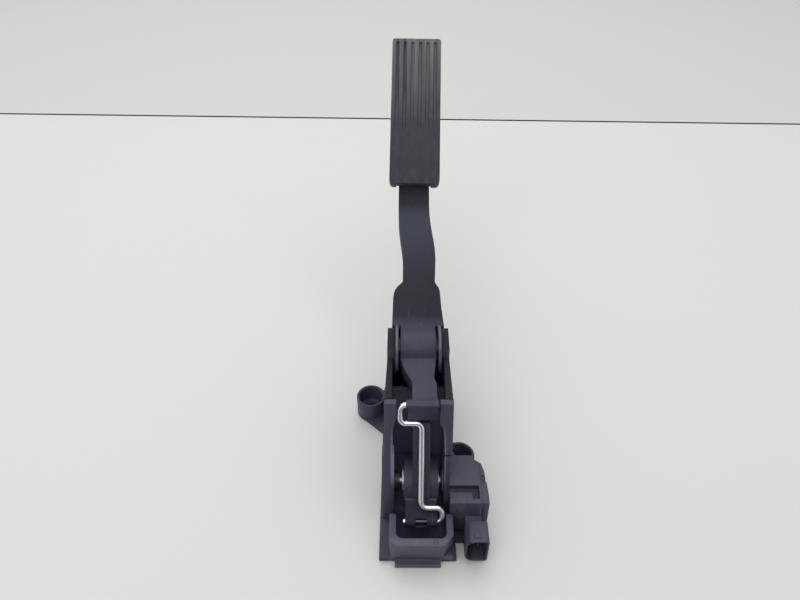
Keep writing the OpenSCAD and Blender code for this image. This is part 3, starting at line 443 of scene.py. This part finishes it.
def drawn_metal(name, colour, stain, rough, streak, mark, darker_lower_pin=False):
    finish = Finish(name)
    marks = finish.noise(1500, 3, finish.stretched(streak))
    clouds = finish.noise(120, 4)
    spots = finish.stepped(finish.noise(700, 3), (0.62, 0), (0.74, 1))
    body = finish.blended(clouds * 0.35 + spots * 0.3, shade(*colour), shade(*stain))
    if darker_lower_pin:
        lower_pin = finish.close("X", *LOWER_PIN_X) * finish.below(finish.axis("Z"), *LOWER_PIN_TOP)
        body = finish.blended(lower_pin, body, LOWER_PIN_COLOUR)
        clouds = clouds + lower_pin
    finish.set(Base_Color=body, Metallic=1.0,
               Roughness=rough + clouds * 0.12 + spots * 0.15 + marks * mark)
    finish.relief(marks, METAL_RELIEF)
    return finish.material


plated_wire = drawn_metal("plated_wire", (0.86, 0.86, 0.88), (0.78, 0.78, 0.81), 0.24,
                          (1, 0.04, 0.04), 0.03, darker_lower_pin=True)
blackened_steel = drawn_metal("blackened_steel", (0.060, 0.060, 0.066), (0.040, 0.038, 0.038),
                              0.34, (1, 1, 1), 0.12)
plain_steel = drawn_metal("plain_steel", (0.42, 0.42, 0.44), (0.28, 0.27, 0.27), 0.26,
                          (0.05, 1, 1), 0.14)
spring_steel = drawn_metal("spring_steel", (0.20, 0.20, 0.21), (0.12, 0.11, 0.10), 0.34,
                           (1, 1, 0.1), 0.12)
contact_brass = drawn_metal("contact_brass", (0.78, 0.58, 0.24), (0.50, 0.34, 0.14), 0.24,
                            (1, 0.05, 1), 0.12)
print("metals", plated_wire.name, blackened_steel.name, plain_steel.name, spring_steel.name,
      contact_brass.name)

# %% [markdown]
# ## The circuit board
# Green varnish over copper tracks, on woven glass. It is sealed inside the sensor.

# %% The board's laminate
board = Finish("board_laminate")
tracks = board.stepped(board.cells(420, feature="DISTANCE_TO_EDGE"), (0.05, 0), (0.09, 1))
weave = board.noise(2600, 1)
board.set(Base_Color=board.blended(tracks, shade(0.05, 0.20, 0.09), shade(0.02, 0.11, 0.05)),
          Roughness=0.22 + weave * 0.2)
board.relief(tracks * 0.6 + weave * 0.3, 0.00004)
board_laminate = board.material
print("made", board_laminate.name)

# %% [markdown]
# ## Finishes for the nodes that stay
# A CAD node whose shape is right keeps it, and only its material changes.

# %% Assigning the finishes
FINISHES = {"housing_plastic": housing_plastic, "arm_plastic": arm_plastic,
            "pad_rubber": pad_rubber, "bumper_rubber": bumper_rubber,
            "seal_rubber": seal_rubber, "plain_steel": plain_steel,
            "plated_wire": plated_wire, "spring_steel": spring_steel,
            "friction_plastic": friction_plastic, "bush_plastic": bush_plastic,
            "contact_brass": contact_brass, "board_laminate": board_laminate}
OWN_FINISHES = {"drum": drum_plastic, "sensor_screws": blackened_steel,
                "bolt_sleeve_left": blackened_steel, "bolt_sleeve_right": blackened_steel}
NODE_SLOTS = {part["node"]: part["material_slot"] for part in frame["record"]["subparts"]}
NODE_BODIES = {node: body for body, nodes in frame["record"]["behaviour"]["bodies"].items()
               for node in nodes}
for node, piece in frame["nodes"].items():
    for place in piece.material_slots:
        place.material = OWN_FINISHES.get(node, FINISHES[NODE_SLOTS[node]])
print("finishes on", len(frame["nodes"]), "nodes")

# %% [markdown]
# ## Small tools for selecting
# An operator acts on everything that is selected, so each step selects what it needs, by place
# or by direction, and nothing else.

# %% Selecting
def only(piece):
    if bpy.context.mode != "OBJECT":
        bpy.ops.object.mode_set(mode="OBJECT")
    bpy.ops.object.select_all(action="DESELECT")
    piece.select_set(True)
    bpy.context.view_layer.objects.active = piece


def edit(piece, kind, select):
    only(piece)
    bpy.ops.object.mode_set(mode="EDIT")
    bpy.ops.mesh.select_mode(type=kind)
    bpy.ops.mesh.select_all(action=select)


def pick(piece, kind, wanted):
    edit(piece, kind, "DESELECT")
    bpy.ops.object.mode_set(mode="OBJECT")
    mesh = piece.data
    if kind == "FACE":
        for face in mesh.polygons:
            face.select = wanted(face.center, face.normal)
    elif kind == "EDGE":
        for line in mesh.edges:
            line.select = wanted(*(mesh.vertices[end].co for end in line.vertices))
    else:
        for point in mesh.vertices:
            point.select = wanted(point.co)
    bpy.ops.object.mode_set(mode="EDIT")


print("a piece is picked by FACE, EDGE or VERT")

# %% [markdown]
# ## Small tools for shaping
# These wrap the few operators and modifiers that the pieces share. A new primitive has its
# place applied at once, because a finished object sits at the origin.

# %% Shaping and finishing
def push(x, y, z):
    bpy.ops.mesh.extrude_region_move(TRANSFORM_OT_translate={"value": (x * MM, y * MM, z * MM)})


def apply_place(piece):
    only(piece)
    bpy.ops.object.transform_apply(location=True, rotation=True, scale=True)


def rounded(piece, width, segments, angle):
    only(piece)
    rounding = piece.modifiers.new("edges", "BEVEL")
    rounding.width = width * MM
    rounding.segments = segments
    rounding.limit_method = "ANGLE"
    rounding.angle_limit = math.radians(angle)
    rounding.use_clamp_overlap = False
    rounding.miter_outer = "MITER_ARC"
    bpy.ops.object.modifier_apply(modifier=rounding.name)


def block(name, low, high):
    bpy.ops.object.select_all(action="DESELECT")
    low, high = Vector(low) * MM, Vector(high) * MM
    bpy.ops.mesh.primitive_cube_add(size=1, location=(low + high) / 2, scale=high - low)
    piece = bpy.context.active_object
    piece.name = name
    apply_place(piece)
    return piece


def cut_away(piece, tool):
    only(piece)
    cutting = piece.modifiers.new("cut", "BOOLEAN")
    cutting.operation = "DIFFERENCE"
    cutting.object = tool
    cutting.solver = "EXACT"
    bpy.ops.object.modifier_apply(modifier=cutting.name)
    bpy.data.objects.remove(tool)


def finished(piece, material, body, node, smooth=35):
    only(piece)
    bpy.ops.object.shade_smooth_by_angle(angle=math.radians(smooth))
    piece.data.materials.clear()
    piece.data.materials.append(material)
    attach(piece, body)
    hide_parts(node)
    print(piece.name, len(piece.data.polygons), "faces")


print("a piece is finished by its finish, body, slot and node")

# %% [markdown]
# ## Mouldings with real edges
# No moulded edge is sharp: the tool is cut with a small radius, and a highlight runs along it.
# A merged copy of the CAD mesh, with its flat triangles joined again, takes a bevel on every
# hard edge. That keeps the solid's exact form and adds what the eye looks for. Where hard
# edges crowd, a bevel can throw a point out of the solid. A point that is farther from the
# solid's skin than the bevel is wide goes back to it.

# %% The bevelled mouldings
MERGE, FLAT_ANGLE, HARD_ANGLE = 0.000002, 0.4, 35
STRAY = 1.2
MOULDINGS = {"housing": (housing_plastic, 0.4), "sensor_housing": (housing_plastic, 0.3),
             "sensor_cover": (housing_plastic, 0.4), "pedal_arm": (arm_plastic, 0.6),
             "drum": (drum_plastic, 0.3), "friction_disc_left": (friction_plastic, 0.3),
             "friction_disc_right": (friction_plastic, 0.3)}


def merged_copy(node):
    only(frame["nodes"][node])
    bpy.ops.object.duplicate()
    piece = bpy.context.active_object
    bpy.ops.object.parent_clear(type="CLEAR_KEEP_TRANSFORM")
    piece.name = node + "_moulding"
    for key in [key for key in piece.keys() if key.startswith("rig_")]:
        del piece[key]
    apply_place(piece)
    if piece.data.has_custom_normals:
        bpy.ops.mesh.customdata_custom_splitnormals_clear()
    edit(piece, "FACE", "SELECT")
    bpy.ops.mesh.remove_doubles(threshold=MERGE)
    bpy.ops.mesh.dissolve_limited(angle_limit=math.radians(FLAT_ANGLE))
    bpy.ops.mesh.normals_make_consistent(inside=False)
    bpy.ops.object.mode_set(mode="OBJECT")
    return piece


for node, (material, edge) in MOULDINGS.items():
    piece = merged_copy(node)
    skin = BVHTree.FromPolygons([point.co.copy() for point in piece.data.vertices],
                                [face.vertices[:] for face in piece.data.polygons])
    rounded(piece, edge, 2, HARD_ANGLE)
    for point in piece.data.vertices:
        nearest, _, _, distance = skin.find_nearest(point.co)
        if distance > edge * STRAY * MM:
            point.co = nearest
    finished(piece, material, NODE_BODIES[node], node)

# %% [markdown]
# ## The link
# One length of steel wire, bent six times. It is made as the bending machine makes it: a ring
# of points is drawn out for each straight run and spun for each bend. It is laid flat first
# and then tilted to the line between its two pins.

# %% The path of the wire
WIRE_R, BEND_R = 1.85, 3.8
HOOK, CRANK = (-42.5, 87.3), (-84.4, 22.0)
LINK_LEN = math.hypot(CRANK[0] - HOOK[0], CRANK[1] - HOOK[1])
LINK_TILT = math.atan2(HOOK[0] - CRANK[0], HOOK[1] - CRANK[1])
UPPER_END, UPPER_X, UPPER_DROP, MIDDLE_X = 11.4, -11.8, -12, 2
LOWER_RISE, LOWER_X, LOWER_END = 9.2 - LINK_LEN, 15.4, -9.75
LINK_PATH = [Vector(p) for p in ((UPPER_END, 0), (UPPER_X, 0), (UPPER_X, UPPER_DROP),
                                 (MIDDLE_X, UPPER_DROP), (MIDDLE_X, LOWER_RISE),
                                 (LOWER_X, LOWER_RISE), (LOWER_X, -LINK_LEN),
                                 (LOWER_END, -LINK_LEN))]
print("pins", round(LINK_LEN, 2), "mm apart,", len(LINK_PATH) - 2, "bends")

# %% The bent link
RUN_STEPS, BEND_STEPS = 4, 10
bpy.ops.object.select_all(action="DESELECT")
bpy.ops.mesh.primitive_circle_add(vertices=32, radius=WIRE_R * MM, rotation=(0, math.pi / 2, 0),
                                  location=(LINK_PATH[0].x * MM, 0, 0))
link = bpy.context.active_object
link.name = "bent_link"
apply_place(link)
edit(link, "EDGE", "SELECT")
for i in range(1, len(LINK_PATH)):
    here, there = LINK_PATH[i - 1], LINK_PATH[i]
    after_bend, before_bend = i > 1, i < len(LINK_PATH) - 1
    along = (there - here).normalized()
    run = (there - here).length - BEND_R * after_bend - BEND_R * before_bend
    for _ in range(RUN_STEPS):
        push(along.x * run / RUN_STEPS, 0, along.y * run / RUN_STEPS)
    if before_bend:
        after = (LINK_PATH[i + 1] - there).normalized()
        centre = there + (after - along) * BEND_R
        turn = along.x * after.y - along.y * after.x
        bpy.ops.mesh.spin(steps=BEND_STEPS, angle=math.pi / 2, axis=(0, turn, 0),
                          center=(centre.x * MM, 0, centre.y * MM))
bpy.ops.mesh.select_all(action="SELECT")
bpy.ops.mesh.remove_doubles(threshold=0.00001)
bpy.ops.mesh.select_all(action="DESELECT")
bpy.ops.mesh.select_non_manifold()
bpy.ops.mesh.edge_face_add()
bpy.ops.mesh.select_all(action="SELECT")
bpy.ops.mesh.normals_make_consistent(inside=False)
bpy.ops.object.mode_set(mode="OBJECT")
rounded(link, 0.35, 2, 60)
link.rotation_euler = (-LINK_TILT, 0, 0)
link.location = (0, HOOK[0] * MM, HOOK[1] * MM)
apply_place(link)
finished(link, plated_wire, "link", "link_wire", smooth=50)
low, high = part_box("link_wire")
print("link box in CAD", list(low), list(high))

# %% [markdown]
# ## The pad's rubber
# A block at the rubber's size is cut into strips, and the strips between the ridges are sunk,
# deeper towards the top, where the photograph shows the ridges clearly. The corners and edges
# are rounded, and the back is hollowed over the plate.

# %% The block and its cuts
PAD_W, PAD_LEN, PAD_T, PAD_RIM = 41.6, 130.5, 10.22, 3.5
GROOVES, GROOVE_W, GROOVE_START, GROOVE_END = 6, 2.5, 42, PAD_LEN - PAD_RIM
GROOVE_ROWS = ((64, 0.30), (86, 0.38), (106, 0.44), (GROOVE_END, 0.46))
PAD_PITCH = PAD_W / (GROOVES + 0.5)
GROOVE_MIDS = [(i - (GROOVES - 1) / 2) * PAD_PITCH for i in range(GROOVES)]
rubber = block("pad_rubber_cover", (-PAD_W / 2, 0, -PAD_T), (PAD_W / 2, PAD_LEN, 0))
for mid in GROOVE_MIDS:
    for side in (-1, 1):
        edit(rubber, "FACE", "SELECT")
        bpy.ops.mesh.bisect(plane_co=((mid + side * GROOVE_W / 2) * MM, 0, 0), plane_no=(1, 0, 0))
for y in (GROOVE_START, *(row for row, _ in GROOVE_ROWS)):
    edit(rubber, "FACE", "SELECT")
    bpy.ops.mesh.bisect(plane_co=(0, y * MM, 0), plane_no=(0, 1, 0))
print("grooves at X", [round(mid, 2) for mid in GROOVE_MIDS])

# %% The grooves
FIRST_DROP, GROOVE_FLOOR = 0.12, -3


def in_groove(centre, normal):
    near = min(abs(centre.x / MM - mid) for mid in GROOVE_MIDS) < GROOVE_W / 2
    return near and normal.z > 0.9 and GROOVE_START < centre.y / MM < GROOVE_END


pick(rubber, "FACE", in_groove)
push(0, 0, -FIRST_DROP)
for y, drop in GROOVE_ROWS:
    pick(rubber, "VERT",
         lambda point, y=y: point.y / MM > y - 1 and GROOVE_FLOOR < point.z / MM < -0.1)
    bpy.ops.transform.translate(value=(0, 0, -drop * MM))
pick(rubber, "VERT",
     lambda point: abs(point.y / MM - GROOVE_START) < 0.1 and -0.2 < point.z / MM < -0.1)
bpy.ops.transform.translate(value=(0, 0, FIRST_DROP * MM))
bpy.ops.mesh.select_all(action="SELECT")
bpy.ops.mesh.remove_doubles(threshold=0.00001)
print("deepest groove", round(FIRST_DROP + sum(drop for _, drop in GROOVE_ROWS), 2), "mm")

# %% The back, the corners and the pad's place
BACK_RIM, BACK_DEPTH = 4, 1.3
CORNERS = ((0, 4), (PAD_LEN, 2.2))
NOTCH_LOW, NOTCH_HIGH = (-15, -9, -40), (13.8, 11, -6.38)
PAD_FOOT_MIDDLE, PAD_LEAN, PAD_TURN = (-1.2, 158.3, 126.9), 39.1, -0.9
pick(rubber, "FACE", lambda centre, normal: normal.z < -0.9)
bpy.ops.mesh.dissolve_faces()
bpy.ops.mesh.inset(thickness=BACK_RIM * MM, depth=0)
push(0, 0, BACK_DEPTH)
for y, reach in CORNERS:
    pick(rubber, "EDGE", lambda a, b, y=y: abs(abs(a.x / MM) - PAD_W / 2) < 0.01
         and abs(a.y / MM - y) < 0.01 and (a - b).length > 5 * MM
         and abs(a.x - b.x) + abs(a.y - b.y) < 0.01 * MM)
    bpy.ops.mesh.bevel(offset=reach * MM, segments=6, affect="EDGES")
bpy.ops.object.mode_set(mode="OBJECT")
cut_away(rubber, block("notch", NOTCH_LOW, NOTCH_HIGH))
rounded(rubber, 0.45, 3, 30)
rubber.matrix_world = (Matrix.Translation(Vector(PAD_FOOT_MIDDLE) * MM)
                       @ Matrix.Rotation(math.radians(PAD_LEAN), 4, "X")
                       @ Matrix.Rotation(math.radians(PAD_TURN), 4, "Z"))
apply_place(rubber)
finished(rubber, pad_rubber, "pedal", "pad_rubber")

# %% [markdown]
# ## The return springs
# A coil spring is one round profile swept up a screw line. The Screw modifier does this, and it is
# applied so that the piece is a plain mesh.

# %% The coil springs
SPRING_Y, SPRING_FOOT, SPRING_TOP, SPRING_TURNS = 20, 34, 78, 7
PROFILE_POINTS, TURN_STEPS = 12, 28


def coil(name, node, mean_r, wire):
    bpy.ops.object.select_all(action="DESELECT")
    bpy.ops.mesh.primitive_circle_add(vertices=PROFILE_POINTS, radius=wire / 2 * MM,
                                      rotation=(math.pi / 2, 0, 0),
                                      location=(mean_r * MM, 0, (SPRING_FOOT + wire / 2) * MM))
    piece = bpy.context.active_object
    piece.name = name
    apply_place(piece)
    sweep = piece.modifiers.new("sweep", "SCREW")
    sweep.angle = math.radians(360)
    sweep.iterations = SPRING_TURNS
    sweep.screw_offset = (SPRING_TOP - SPRING_FOOT - wire) / SPRING_TURNS * MM
    sweep.steps = sweep.render_steps = TURN_STEPS
    sweep.use_merge_vertices = True
    bpy.ops.object.modifier_apply(modifier=sweep.name)
    edit(piece, "EDGE", "DESELECT")
    bpy.ops.mesh.select_non_manifold()
    bpy.ops.mesh.edge_face_add()
    bpy.ops.mesh.select_all(action="SELECT")
    bpy.ops.mesh.normals_make_consistent(inside=False)
    bpy.ops.object.mode_set(mode="OBJECT")
    piece.location = (0, SPRING_Y * MM, 0)
    apply_place(piece)
    finished(piece, spring_steel, "frame", node, smooth=60)
    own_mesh(piece)


coil("outer_coil", "outer_spring", 9, 2.2)
coil("inner_coil", "inner_spring", 5.5, 1.6)

# %% [markdown]
# ## The table
# The pedal lies on a pale table that ends behind it in a thin gap, and a second pale surface goes
# on from there. A dark sheet under the gap is its painted shadow. They are the stage and no part
# of the object.

# %% The stage
EDGE_Y, EDGE_TURN, GAP_W = 0.5455, -1.35, 0.004
TABLE_X = (-3, 3)


def table_finish(name, colour, spread):
    finish = Finish(name)
    clouds = finish.noise(3, 3)
    specks = finish.noise(260, 3)
    finish.set(Base_Color=finish.blended(clouds * 0.8 + specks * 0.2, shade(*colour),
               shade(*(value * spread for value in colour))), Roughness=0.55 + specks * 0.1)
    return finish.material


def stage_plane(name, y, height, material):
    bpy.ops.object.select_all(action="DESELECT")
    bpy.ops.mesh.primitive_plane_add(size=1, location=(sum(TABLE_X) / 2, sum(y) / 2, height))
    piece = bpy.context.active_object
    piece.name = name
    piece.scale = (TABLE_X[1] - TABLE_X[0], y[1] - y[0], 1)
    apply_place(piece)
    piece.rotation_euler = (0, 0, math.radians(EDGE_TURN))
    apply_place(piece)
    piece.data.materials.append(material)


near_table = table_finish("near_table", (0.64, 0.635, 0.60), 0.985)
far_table = table_finish("far_table", (0.585, 0.58, 0.545), 0.985)
gap_painted_shadow = table_finish("gap_painted_shadow", (0.22, 0.22, 0.22), 0.9)
stage_plane("table_near", (-3, EDGE_Y), 0, near_table)
stage_plane("table_far", (EDGE_Y + GAP_W, 4), 0, far_table)
stage_plane("table_gap", (EDGE_Y - 0.01, EDGE_Y + 0.02), -0.003, gap_painted_shadow)
print("the table ends at Y", EDGE_Y)

# %% [markdown]
# ## The dark side of the room
# The room is darker in front of the table. The bright wire mirrors that as a stripe down its
# middle, and the faces that look forward get less light.

# %% The dark board behind the camera
BOARD_MIDDLE, BOARD_SIZE = (0, -0.75, 0.36), (0.9, 0.68, 1)
bpy.ops.object.select_all(action="DESELECT")
bpy.ops.mesh.primitive_plane_add(size=1, location=BOARD_MIDDLE, rotation=(math.pi / 2, 0, 0))
dark_board = bpy.context.active_object
dark_board.name = "dark_board"
dark_board.scale = BOARD_SIZE
apply_place(dark_board)
dark_board.data.materials.append(table_finish("dark_cloth", (0.085, 0.085, 0.095), 0.8))
dark_board.visible_camera = False
print("dark board at", BOARD_MIDDLE)

# %% [markdown]
# ## The lamps
# The photograph has soft light from a bright room. A wide lamp overhead and a little behind
# gives the faces that look up their sheen, and two more light the front and the top.

# %% The three lamps
def lamp(name, place, aim, size, power):
    bpy.ops.object.light_add(type="AREA", location=place)
    made = bpy.context.active_object
    made.name = name
    made.data.shape = "RECTANGLE"
    made.data.size, made.data.size_y = size
    made.data.energy = power
    made.rotation_euler = (Vector(aim) - Vector(place)).to_track_quat("-Z", "Y").to_euler()
    print("lamp", name, power, "W")


lamp("window", (-0.5, 1.2, 1.7), (0, 0.1, 0), (1.8, 1.2), 10)
lamp("room", (-0.6, -1.5, 1.7), (0, 0, 0.05), (2.0, 1.4), 16)
lamp("ceiling", (0.3, 0.1, 2.3), (0, 0, 0), (2.4, 2.4), 24)

# %% [markdown]
# ## The world
# The camera, and what is seen through glass, meet a plain pale wall behind the table. The part
# is lit by a softer and slightly blue fill, and its bright metal mirrors that fill too.

# %% The wall and the fill
WALL, WALL_STRENGTH = shade(0.80, 0.80, 0.80), 1
FILL, FILL_STRENGTH = shade(0.90, 0.94, 1.0), 0.62
world = bpy.data.worlds.new("room")
bpy.context.scene.world = world
world.use_nodes = True
tree = world.node_tree
tree.nodes.clear()
rays = tree.nodes.new("ShaderNodeLightPath")
seen = tree.nodes.new("ShaderNodeMath")
seen.operation = "MAXIMUM"
tree.links.new(rays.outputs["Is Camera Ray"], seen.inputs[0])
tree.links.new(rays.outputs["Is Transmission Ray"], seen.inputs[1])
mixed = tree.nodes.new("ShaderNodeMixShader")
tree.links.new(seen.outputs[0], mixed.inputs["Fac"])
for place, (colour, strength) in enumerate(((FILL, FILL_STRENGTH), (WALL, WALL_STRENGTH)), 1):
    sky = tree.nodes.new("ShaderNodeBackground")
    sky.inputs["Color"].default_value = colour
    sky.inputs["Strength"].default_value = strength
    tree.links.new(sky.outputs[0], mixed.inputs[place])
tree.links.new(mixed.outputs[0], tree.nodes.new("ShaderNodeOutputWorld").inputs["Surface"])
print("world", len(tree.nodes), "nodes")
